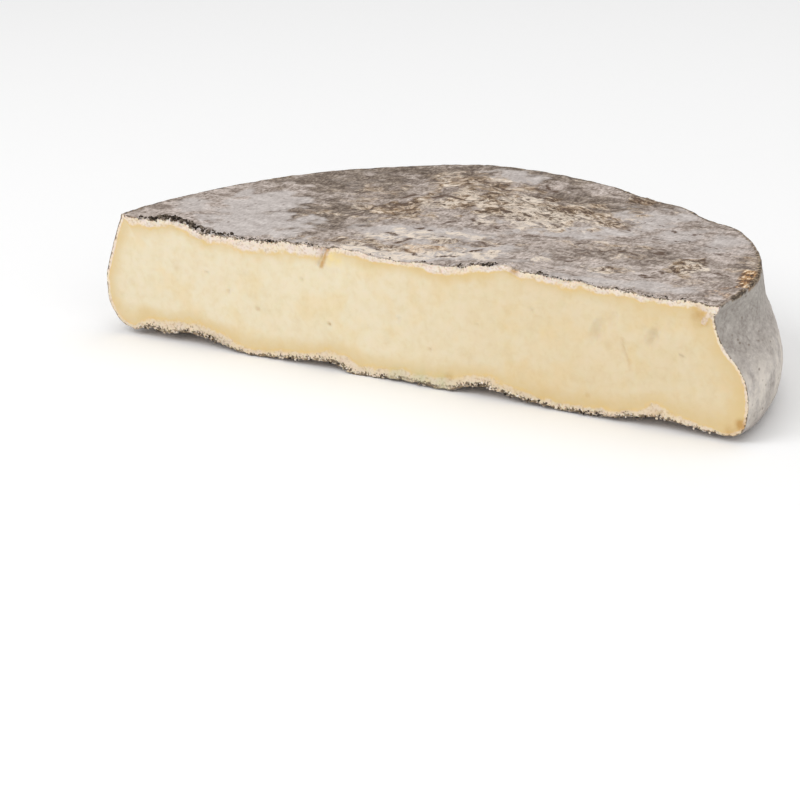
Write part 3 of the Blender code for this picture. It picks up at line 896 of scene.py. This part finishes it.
def mouldy_rind(colours):
    """Dry cellar-ripened rind: lilac-grey mould over a brown crust that shows where it is worn.

    To the eye it is dead matt, with fine dark specks everywhere, brown strokes and cream scales in
    the worn patches, the scales partly a painted highlight on their lit side, smooth pale bloom
    between them, and ochre spots near the rim.
    """
    material, tree, shader = new_material("mouldy_rind")
    place_in = add_node(tree, COORDINATES, output="Object")
    cover = {name: add_node(tree, ATTRIBUTE, output="Fac", attribute_name=name)
             for name in RIND_LAYERS}
    height_here = add_node(tree, SEPARATE, {0: place_in}, "Z")

    # The mould is drawn out along the streaks on the top, and stands upright on the side
    brushed = (0.0, 0.0, -math.radians(STREAK_DEGREES))
    streaked, short = (
        add_node(tree, MAPPING, {"Vector": place_in, "Rotation": brushed, "Scale": stretch})
        for stretch in (STREAK_STRETCH, SPECK_STRETCH))
    upright = add_node(tree, MAPPING, {"Vector": place_in, "Scale": SIDE_STRETCH})
    streaked = add_node(tree, MIX, {0: cover["side"], 4: streaked, 5: upright}, 1,
                        data_type="VECTOR")
    # The scales of the worn middle fan out from left to right
    sweep = add_node(tree, RANGE, {
        "Value": add_node(tree, SEPARATE, {0: place_in}, "X"),
        "From Min": FAN_LEFT_X * MM, "From Max": FAN_RIGHT_X * MM,
        "To Min": -math.radians(FAN_LEFT_DEGREES), "To Max": -math.radians(FAN_RIGHT_DEGREES)},
        interpolation_type="SMOOTHSTEP")
    fanned = add_node(tree, "ShaderNodeVectorRotate", {"Vector": place_in, "Angle": sweep},
                      rotation_type="Z_AXIS")
    fanned = add_node(tree, MAPPING, {"Vector": fanned, "Scale": SHARD_STRETCH})

    lie = {"cloud": place_in, "flakes": streaked, "speck": short, "fibre": streaked,
           "patchy": place_in, "shards": fanned}
    cloud, flakes, speck, fibre, patchy, shards = (
        add_node(tree, NOISE, {
            "Vector": lie[name], "Scale": 1 / (spacing * MM), "Detail": detail,
            "Roughness": roughness, "Distortion": distortion})
        for name, (spacing, detail, roughness, distortion) in RIND_PATTERNS.items())
    grain = add_node(tree, MIX, {0: 0.5, 2: flakes, 3: speck})

    # rim_shade_tone colours the painted shade along the upper rim
    mould, dull_mould, smooth_mould, crust, ochre_tone, rim_shade_tone = (
        add_node(tree, RAMP, {"Fac": pattern}, stops=stops) for pattern, stops in (
            (grain, ((0.41, "84756a"), (0.47, "a4968c"), (0.53, "bfb1a8"), (0.60, "d8cbc4"))),
            (grain, ((0.41, "534439"), (0.47, "736457"), (0.53, "8d7e70"), (0.60, "b0a195"))),
            (grain, ((0.39, "aaa09b"), (0.47, "bbb2ad"), (0.55, "c8bfba"), (0.63, "d6cec9"))),
            (shards, ((0.40, "513d2a"), (0.45, "846b50"), (0.50, "b39d86"), (0.56, "dac7b2"),
                      (0.63, "f2e4d4"))),
            (grain, ((0.42, "3a2614"), (0.48, "845a30"), (0.53, "bd9363"), (0.59, "f0dcc0"))),
            (speck, ((0.40, "3d3024"), (0.50, "66533f"), (0.60, "ab987f")))))

    # Where each finish shows, from 0 to 1
    dull = add_node(tree, RANGE, {
        "Value": add_node(tree, MATH, {0: patchy, 1: 1.2, 2: cover["dull"]},
                          operation="MULTIPLY_ADD"),
        "From Min": 0.75, "From Max": 1.45})
    bloom = add_node(tree, RANGE, {
        "Value": add_node(tree, MATH, {0: cover["bloom"], 1: cloud}, operation="ADD"),
        "From Min": 0.60, "From Max": 1.15})
    bare = add_node(tree, MATH, {0: bloom, 1: -0.25, 2: cover["worn"]}, operation="MULTIPLY_ADD")
    wear = add_node(tree, RANGE, {
        "Value": add_node(tree, MATH, {0: flakes, 1: 2.4, 2: bare}, operation="MULTIPLY_ADD"),
        "From Min": 1.55, "From Max": 2.0})
    # The cream scales are partly their own colour and partly a painted highlight on the lit side of
    # raised scales
    scales, drawn, ochre, rim_shade_line = (
        add_node(tree, RANGE, {
            "Value": add_node(tree, MATH, {0: pattern, 1: cover[name]}, operation="MULTIPLY"),
            "From Min": low, "From Max": high, "To Max": most})
        for name, pattern, low, high, most in (
            ("cream_and_highlight", shards, 0.41, 0.55, 1.0), ("stroke", speck, 0.24, 0.46, 1.0),
            ("ochre", flakes, 0.17, 0.42, 1.0), ("rim", patchy, 0.29, 0.47, 0.95)))

    # Fine dark lines follow the middle level of the fibre pattern, broken up by the flakes
    near_line = add_node(tree, MATH, {
        0: add_node(tree, MATH, {0: fibre, 1: 0.5}, operation="SUBTRACT")}, operation="ABSOLUTE")
    lines = add_node(tree, RANGE, {"Value": near_line, "From Min": 0.045, "From Max": 0.0})
    broken = add_node(tree, RANGE, {"Value": flakes, "From Min": 0.60, "From Max": 0.46})
    worn_more = add_node(tree, MATH, {0: wear, 1: 0.6, 2: 0.4}, operation="MULTIPLY_ADD")
    unbloomed = add_node(tree, RANGE, {"Value": bloom, "To Min": 1.0, "To Max": 0.3})
    strokes = lines
    for share in (broken, worn_more, unbloomed):
        strokes = add_node(tree, MATH, {0: strokes, 1: share}, operation="MULTIPLY")
    strokes = add_node(tree, MATH, {0: strokes, 1: drawn}, operation="MAXIMUM")

    # Painted highlight on the side's bulge, between the hollow under the rim and the foot, paler
    # where the light from above falls on it
    bulge = add_node(tree, RANGE, {
        "Value": height_here, "From Min": 26 * MM, "From Max": 15 * MM, "To Max": 0.75},
        interpolation_type="SMOOTHSTEP")
    foot = add_node(tree, RANGE, {
        "Value": height_here, "From Min": 2 * MM, "From Max": 9 * MM},
        interpolation_type="SMOOTHSTEP")
    pale = add_node(tree, MATH, {0: bulge, 1: foot}, operation="MULTIPLY")
    pale = add_node(tree, MATH, {
        0: pale, 1: add_node(tree, RANGE, {"Value": patchy, "From Min": 0.35, "From Max": 0.6})},
        operation="MULTIPLY")

    # Among the finishes laid on below, pale is the painted highlight on the side's bulge
    colour = mould
    for share, finish in (
            (dull, dull_mould), (bloom, smooth_mould), (wear, crust), (scales, linear("e9dac9")),
            (strokes, (*colours.stroke, 1.0)), (ochre, ochre_tone), (rim_shade_line, rim_shade_tone),
            (pale, linear("f0e6dc"))):
        colour = add_node(tree, MIX, {0: share, 6: colour, 7: finish}, 2, data_type="RGBA")

    # Painted shade on the side: darker at the foot and under the rim, lightest on the bulge, as the
    # light from above falls on it
    side_height = add_node(tree, RANGE, {"Value": height_here, "From Max": 40 * MM})
    side_painted_shade = add_node(tree, RAMP, {"Fac": side_height}, stops=(
        (0.0, "d6d4d0"), (0.22, "f4f5f2"), (0.40, "f8f9f7"), (0.62, "ebebe7"), (0.84, "e4e6e2")))
    side_with_painted_shade = add_node(tree, MIX, {0: 1.0, 6: colour, 7: side_painted_shade}, 2, data_type="RGBA",
                     blend_type="MULTIPLY")
    colour = add_node(tree, MIX, {0: cover["side"], 6: colour, 7: side_with_painted_shade}, 2, data_type="RGBA")

    # Dark dots of spent mould
    dots = add_node(tree, "ShaderNodeTexVoronoi", {
        "Vector": short, "Scale": 1 / (DOT_SPACING * MM), "Randomness": 1.0})
    dots = add_node(tree, RANGE, {
        "Value": dots, "From Min": 0.22, "From Max": 0.10, "To Max": 0.6})
    dots = add_node(tree, MATH, {
        0: dots, 1: add_node(tree, RANGE, {"Value": patchy, "From Min": 0.42, "From Max": 0.54})},
        operation="MULTIPLY")
    colour = add_node(tree, MIX, {0: dots, 6: colour, 7: linear("65523f")}, 2, data_type="RGBA")
    tree.links.new(colour, shader.inputs["Base Color"])

    height = add_node(tree, MATH, {
        0: strokes, 1: -0.16, 2: add_node(tree, MIX, {0: wear, 2: grain, 3: shards})},
        operation="MULTIPLY_ADD")
    strength = add_node(tree, RANGE, {"Value": bloom, "To Min": 0.9, "To Max": 0.55})
    bump = add_node(tree, BUMP, {"Height": height, "Distance": 1.0 * MM, "Strength": strength})
    tree.links.new(bump, shader.inputs["Normal"])
    shader.inputs["Roughness"].default_value = 0.92
    shader.inputs["Specular IOR Level"].default_value = 0.2
    shader.inputs["Sheen Weight"].default_value = 0.08
    shader.inputs["Sheen Roughness"].default_value = 0.6
    return material


def ripe_paste(colours):
    """Ripe semi-soft paste, cut with a knife.

    To the eye it is moist and slightly translucent, pale straw in the heart and golden close to
    the rind, deeper and darker near the base partly as painted shade, with a dry crumbly off-white
    band and a torn brown crust at the outline whose dark line is partly painted shadow.
    """
    material, tree, shader = new_material("ripe_paste")
    place_in = add_node(tree, COORDINATES, output="Object")
    cover = {name: add_node(tree, ATTRIBUTE, output="Fac", attribute_name=name)
             for name in CUT_LAYERS}
    across = add_node(tree, SEPARATE, {0: place_in}, "X")
    upwards = add_node(tree, SEPARATE, {0: place_in}, "Z")
    cloud, smudge, crumb, fine, curd = (
        add_node(tree, NOISE, {
            "Vector": place_in, "Scale": 1 / (spacing * MM), "Detail": detail,
            "Roughness": roughness, "Distortion": distortion})
        for spacing, detail, roughness, distortion in PASTE_PATTERNS.values())

    # The pale heart, with faint clouds, smudges and curds, and painted shade making it a little
    # darker to the right where the light falls off
    tint, mottle, curds = (
        add_node(tree, RAMP, {"Fac": pattern}, stops=stops) for pattern, stops in (
            (cloud, ((0.38, "fffaf0"), (0.50, "ffffff"), (0.62, "fffdfb"))),
            (smudge, ((0.30, "faf7f0"), (0.42, "fdfcf8"), (0.56, "ffffff"))),
            (curd, ((0.34, "fcfaf5"), (0.48, "fefefc"), (0.62, "ffffff")))))
    rightward_shade = add_node(tree, RANGE, {
        "Value": across, "From Min": -30 * MM, "From Max": 55 * MM},
        interpolation_type="SMOOTHSTEP")
    colour = (*colours.paste, 1.0)
    for share, tone in ((1.0, tint), (rightward_shade, linear("f9f4ec")), (1.0, mottle), (1.0, curds)):
        colour = add_node(tree, MIX, {0: share, 6: colour, 7: tone}, 2, data_type="RGBA",
                          blend_type="MULTIPLY")

    # The golden zone, in millimetres from the band, reaches further in near the base and both ends;
    # the deeper, darker gold near the base is partly painted shade
    reach = add_node(tree, RANGE, {
        "Value": upwards, "From Min": 14 * MM, "From Max": 3 * MM, "To Min": 1.5, "To Max": 3.4},
        interpolation_type="SMOOTHSTEP")
    rightwards = add_node(tree, RANGE, {
        "Value": across, "From Min": 60 * MM, "From Max": 100 * MM, "To Max": 1.6})
    leftwards = add_node(tree, RANGE, {
        "Value": across, "From Min": -80 * MM, "From Max": -102 * MM, "To Max": 0.9})
    endwards = add_node(tree, MATH, {0: rightwards, 1: leftwards}, operation="ADD")
    reach = add_node(tree, MATH, {0: reach, 1: endwards}, operation="ADD")
    band_width = add_node(tree, MATH, {0: cover["depth"], 1: cover["band"]}, operation="DIVIDE")
    inside = add_node(tree, MATH, {0: cover["depth"], 1: band_width}, operation="SUBTRACT")
    wander = add_node(tree, MATH, {0: cloud, 1: 6.0, 2: -3.0}, operation="MULTIPLY_ADD")
    inside = add_node(tree, MATH, {0: inside, 1: wander}, operation="ADD")
    gold = add_node(tree, RANGE, {
        "Value": add_node(tree, MATH, {0: inside, 1: reach}, operation="DIVIDE"),
        "From Min": 2.6, "From Max": -0.6, "To Max": 0.85}, interpolation_type="SMOOTHSTEP")

    # A thin richer seam just inside the band, in band widths
    thin = add_node(tree, MATH, {0: smudge, 1: 5.0, 2: -2.2}, operation="MULTIPLY_ADD")
    past_band = add_node(tree, MATH, {0: cover["band"], 1: 2.2, 2: -2.2},
                         operation="MULTIPLY_ADD")
    seam = add_node(tree, RANGE, {
        "Value": add_node(tree, MATH, {0: past_band, 1: thin}, operation="ADD"),
        "From Min": 1.5, "From Max": 0.2, "To Max": 0.5}, interpolation_type="SMOOTHSTEP")

    # The crumbly band, yellowed in places, and darker low down, partly as painted shade
    ragged = add_node(tree, MATH, {
        0: add_node(tree, MIX, {0: 0.55, 2: crumb, 3: smudge}), 1: 2.2, 2: -1.1},
        operation="MULTIPLY_ADD")
    band = add_node(tree, RANGE, {
        "Value": add_node(tree, MATH, {0: cover["band"], 1: ragged}, operation="ADD"),
        "From Min": 1.25, "From Max": 0.75}, interpolation_type="SMOOTHSTEP")
    yellowed = add_node(tree, RANGE, {"Value": smudge, "From Min": 0.42, "From Max": 0.60})
    low_band_tint_and_shade = add_node(tree, RANGE, {
        "Value": upwards, "From Min": 20 * MM, "From Max": 8 * MM, "To Max": 0.6})
    band_tone = (*colours.band, 1.0)
    for share, tone in ((yellowed, linear("e9dac2")), (low_band_tint_and_shade, linear("ddcaac"))):
        band_tone = add_node(tree, MIX, {0: share, 6: band_tone, 7: tone}, 2, data_type="RGBA")
    grains = add_node(tree, RAMP, {"Fac": fine}, stops=(
        (0.34, "e9e0d4"), (0.42, "f7f3ee"), (0.54, "ffffff")))
    band_tone = add_node(tree, MIX, {0: 1.0, 6: band_tone, 7: grains}, 2, data_type="RGBA",
                         blend_type="MULTIPLY")

    # The stains, the painted highlight on the flap, and the torn crust at the outline, its dark line
    # partly painted shadow at the cut's edges
    flap_highlight, green, brown = (
        add_node(tree, MATH, {0: cover[name], 1: crumb}, operation="MULTIPLY")
        for name in ("flap_highlight", "green", "brown"))
    # flap_highlight: painted highlight on the raised flap beside the split
    flap_highlight = add_node(tree, RANGE, {
        "Value": flap_highlight, "From Min": 0.05, "From Max": 0.45, "To Max": 0.7})
    brown = add_node(tree, RANGE, {
        "Value": brown, "From Min": 0.03, "From Max": 0.55, "To Max": 0.8})
    torn = add_node(tree, MATH, {0: fine, 1: 4.5, 2: -2.25}, operation="MULTIPLY_ADD")
    crust = add_node(tree, RANGE, {
        "Value": add_node(tree, MATH, {0: cover["crust"], 1: torn}, operation="ADD"),
        "From Min": 0.95, "From Max": 0.55, "To Max": 0.9})
    patchy = add_node(tree, RANGE, {
        "Value": smudge, "From Min": 0.40, "From Max": 0.50, "To Min": 0.35})
    crust = add_node(tree, MATH, {0: crust, 1: patchy}, operation="MULTIPLY")
    crust_and_shadow_tone = add_node(tree, RAMP, {"Fac": crumb}, stops=(
        (0.42, "43362a"), (0.50, "5f4f3e"), (0.60, "8b7961")))
    for share, finish in (
            (gold, (*colours.golden, 1.0)), (seam, linear("e3c37f")), (band, band_tone),
            (flap_highlight, linear("eed999")), (green, linear("b9bd93")), (brown, linear("bb8e4a")),
            (crust, crust_and_shadow_tone)):
        colour = add_node(tree, MIX, {0: share, 6: colour, 7: finish}, 2, data_type="RGBA")
    tree.links.new(colour, shader.inputs["Base Color"])

    bump = add_node(tree, BUMP, {"Height": crumb, "Strength": 0.12, "Distance": 0.6 * MM})
    tree.links.new(bump, shader.inputs["Normal"])
    shader.inputs["Roughness"].default_value = 0.52
    shader.inputs["Specular IOR Level"].default_value = 0.3
    shader.inputs["Subsurface Weight"].default_value = 0.3
    shader.inputs["Subsurface Radius"].default_value = (1.0, 0.6, 0.3)
    shader.inputs["Subsurface Scale"].default_value = 2.0 * MM
    return material


def crumb_matter(name, dark, middle, light, roughness):
    """Dry crumb of broken crust: matt and uneven in colour, each grain lighter or darker."""
    material, tree, shader = new_material(name)
    place_in = add_node(tree, COORDINATES, output="Object")
    grain = add_node(tree, NOISE, {
        "Vector": place_in, "Scale": 1 / (CRUMB_GRAIN * MM), "Detail": 3.0})
    tone = add_node(tree, RAMP, {"Fac": grain}, stops=(
        (0.36, dark), (0.50, middle), (0.64, light)))
    tree.links.new(tone, shader.inputs["Base Color"])
    bump = add_node(tree, BUMP, {"Height": grain, "Strength": 0.4, "Distance": 0.3 * MM})
    tree.links.new(bump, shader.inputs["Normal"])
    shader.inputs["Roughness"].default_value = roughness
    shader.inputs["Specular IOR Level"].default_value = 0.25
    return material


def crest_at(x, y):
    """Height of the upper edge's broken crust, in millimetres."""
    return through(UPPER_EDGE, x) + crust_crumble(x, y, UPPER_SEED)


def upper_spots(draw, count):
    """Spots of dark crumbs along the upper edge: heaped on the left, thin elsewhere, in flakes."""
    spots = []
    for number in range(count):
        if number < count * HEAPED_SHARE:
            x = draw.triangular(-96.0, -60.0, -83.0)
            y = CUT_Y + draw.triangular(-0.1, 3.2, 1.0)
            share = draw.uniform(0.9, 2.1)
        else:
            x = draw.choice((draw.uniform(-66, -28), draw.uniform(-66, -40), draw.uniform(17, 31),
                             draw.triangular(34, 98, 70), draw.uniform(-66, 98)))
            y = CUT_Y + draw.triangular(-0.1, 1.3, 0.2)
            share = draw.uniform(0.45, 1.1) if x < SPARSE_FROM_X else draw.uniform(0.35, 0.8)
        z = crest_at(x, y) + crumb_ridge(x, y) + draw.uniform(-0.2, 0.2)
        spots.append((x, y, z, share))
    for middle, half_length, share in FLAKES:
        for _ in range(int(FLAKE_CRUMBS + FLAKE_CRUMBS_PER_MM * half_length)):
            x = middle + draw.uniform(-half_length, half_length)
            y = CUT_Y + draw.uniform(0.2, 0.8 + 0.9 * share)
            z = crest_at(x, y) + draw.uniform(-0.2, 0.1)
            spots.append((x, y, z, share * draw.uniform(0.75, 1.2)))
    return spots


def edge_spots(draw, count):
    """Spots of crumbs along the whole upper edge, a few of them fallen back on the rind."""
    spots = []
    for _ in range(count):
        x = draw.choice((draw.uniform(-66, -20), draw.uniform(-34, 30), draw.uniform(34, 99)))
        back = draw.choice((draw.triangular(-0.2, 1.5, 0.3), draw.triangular(0.5, 9.0, 1.5)))
        y = CUT_Y + back
        z = crest_at(x, y) + 0.1
        spots.append((x, y, z, draw.uniform(0.3, 0.75)))
    return spots


def lower_spots(draw, count):
    """Spots of crumbs along the ragged lower edge of the cut."""
    spots = []
    for _ in range(count):
        x = draw.choice((draw.uniform(-96, -60), draw.uniform(-44, 14), draw.uniform(20, 60),
                         draw.uniform(60, 104)))
        lift = through(LOWER_EDGE, x)
        y = CUT_Y + draw.triangular(-0.4, 0.9, 0.0)
        z = max(LOWEST_CRUMB, lift + draw.uniform(-0.2, 1.0))
        spots.append((x, y, z, draw.uniform(0.5, 1.4)))
    return spots


def piece_collection():
    """The collection that holds the finished pieces."""
    name = "half_wheel_cheese"
    found = bpy.data.collections.get(name)
    if found is None:
        found = bpy.data.collections.new(name)
        bpy.context.scene.collection.children.link(found)
    return found


class CHEESE_OT_half_wheel(bpy.types.Operator):
    """Builds the half wheel's fine skin in place of its plain solid"""

    bl_idname = "cheese.half_wheel"
    bl_label = "Half wheel"

    def execute(self, context):
        scene = context.scene
        data = half_wheel(scene.cheese_sizes)
        piece = linked(data, "ripe_half_wheel", piece_collection(),
                       (mouldy_rind(scene.cheese_colours), ripe_paste(scene.cheese_colours)))
        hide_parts("cheese_half")
        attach(piece, "root")
        return {"FINISHED"}


class CHEESE_OT_crumbs(bpy.types.Operator):
    """Scatters crumbs of broken crust along the edges of the cut"""

    bl_idname = "cheese.crumbs"
    bl_label = "Crust crumbs"

    def execute(self, context):
        crumbs = context.scene.cheese_crumbs
        draw = random.Random(11)
        # The dark crumbs at the lower edge are partly painted shadow under that edge
        dark = (upper_spots(draw, int(crumbs.dark * DARK_UPPER_SHARE))
                + lower_spots(draw, int(crumbs.dark * DARK_LOWER_SHARE)))
        pale = (lower_spots(draw, int(crumbs.pale * PALE_LOWER_SHARE))
                + edge_spots(draw, int(crumbs.pale * PALE_UPPER_SHARE)))
        broken_crust = crumb_matter("broken_crust", "241d17", "453a2f", "7d7164", roughness=0.9)
        under_rind = crumb_matter("under_rind", "c9b69c", "e4d6c4", "f2e9df", roughness=0.8)
        for name, spots, seed, material in (
                ("dark_crust_crumbs", dark, 21, broken_crust),
                ("pale_crust_crumbs", pale, 22, under_rind)):
            heap = crumb_heap(name, spots, crumbs.size, seed)
            piece = linked(heap, name, piece_collection(), (material,))
            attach(piece, "root")
        return {"FINISHED"}


class CHEESE_OT_stage(bpy.types.Operator):
    """Sets the pale floor, the soft lights and the camera"""

    bl_idname = "cheese.stage"
    bl_label = "Studio"

    def execute(self, context):
        scene = context.scene
        mesh = bmesh.new()
        bmesh.ops.create_grid(mesh, x_segments=1, y_segments=1, size=FLOOR_HALF_SIDE)
        data = bpy.data.meshes.new("floor")
        mesh.to_mesh(data)
        mesh.free()
        # Matt white paper: it takes a soft shadow and shows no glints
        material, _, shader = new_material("white_paper")
        shader.inputs["Base Color"].default_value = linear("fdfdfd")
        shader.inputs["Roughness"].default_value = 0.9
        shader.inputs["Specular IOR Level"].default_value = 0.1
        floor = linked(data, "floor", scene.collection, (material,))

        world = bpy.data.worlds.new("studio")
        world.use_nodes = True
        background = world.node_tree.nodes["Background"]
        background.inputs["Color"].default_value = (1.0, 1.0, 1.0, 1.0)
        background.inputs["Strength"].default_value = WORLD_STRENGTH
        scene.world = world
        for name, spot, aim, size, power in LAMPS:
            light = bpy.data.lights.new(name, "AREA")
            light.shape = "SQUARE"
            light.size = size
            light.energy = power
            lamp = bpy.data.objects.new(name, light)
            lamp.location = spot
            lamp.rotation_euler = (Vector(aim) - Vector(spot)).to_track_quat("-Z", "Y").to_euler()
            scene.collection.objects.link(lamp)

        lens = bpy.data.cameras.new("camera")
        lens.lens = LENS_MM
        lens.sensor_width = SENSOR_MM
        lens.clip_end = FARTHEST_SEEN
        camera = bpy.data.objects.new("camera", lens)
        spot, aim = Vector(CAMERA_AT) * MM, Vector(CAMERA_AIM) * MM
        roll = Quaternion((0.0, 0.0, 1.0), math.radians(CAMERA_ROLL_DEGREES))
        camera.location = spot
        camera.rotation_euler = ((aim - spot).to_track_quat("-Z", "Y") @ roll).to_euler()
        scene.collection.objects.link(camera)
        scene.camera = camera
        scene.view_settings.view_transform = "Standard"
        return {"FINISHED"}


class CHEESE_PT_panel(bpy.types.Panel):
    """Buttons and sizes of the cheese in the 3D view's sidebar."""

    bl_label = "Half wheel cheese"
    bl_space_type = "VIEW_3D"
    bl_region_type = "UI"
    bl_category = "Cheese"

    def draw(self, context):
        scene = context.scene
        for group in (scene.cheese_sizes, scene.cheese_colours, scene.cheese_crumbs):
            for name in group.__annotations__:
                self.layout.prop(group, name)
        for operator in (CHEESE_OT_half_wheel, CHEESE_OT_crumbs, CHEESE_OT_stage):
            self.layout.operator(operator.bl_idname)


CLASSES = (
    CheeseSizes, CheeseColours, CrumbSizes,
    CHEESE_OT_half_wheel, CHEESE_OT_crumbs, CHEESE_OT_stage, CHEESE_PT_panel,
)


def register():
    for each in CLASSES:
        bpy.utils.register_class(each)
    bpy.types.Scene.cheese_sizes = PointerProperty(type=CheeseSizes)
    bpy.types.Scene.cheese_colours = PointerProperty(type=CheeseColours)
    bpy.types.Scene.cheese_crumbs = PointerProperty(type=CrumbSizes)


def unregister():
    del bpy.types.Scene.cheese_crumbs
    del bpy.types.Scene.cheese_colours
    del bpy.types.Scene.cheese_sizes
    for each in reversed(CLASSES):
        bpy.utils.unregister_class(each)


def main():
    register()
    bpy.ops.cheese.half_wheel()
    bpy.ops.cheese.crumbs()
    bpy.ops.cheese.stage()


if __name__ == "__main__":
    main()
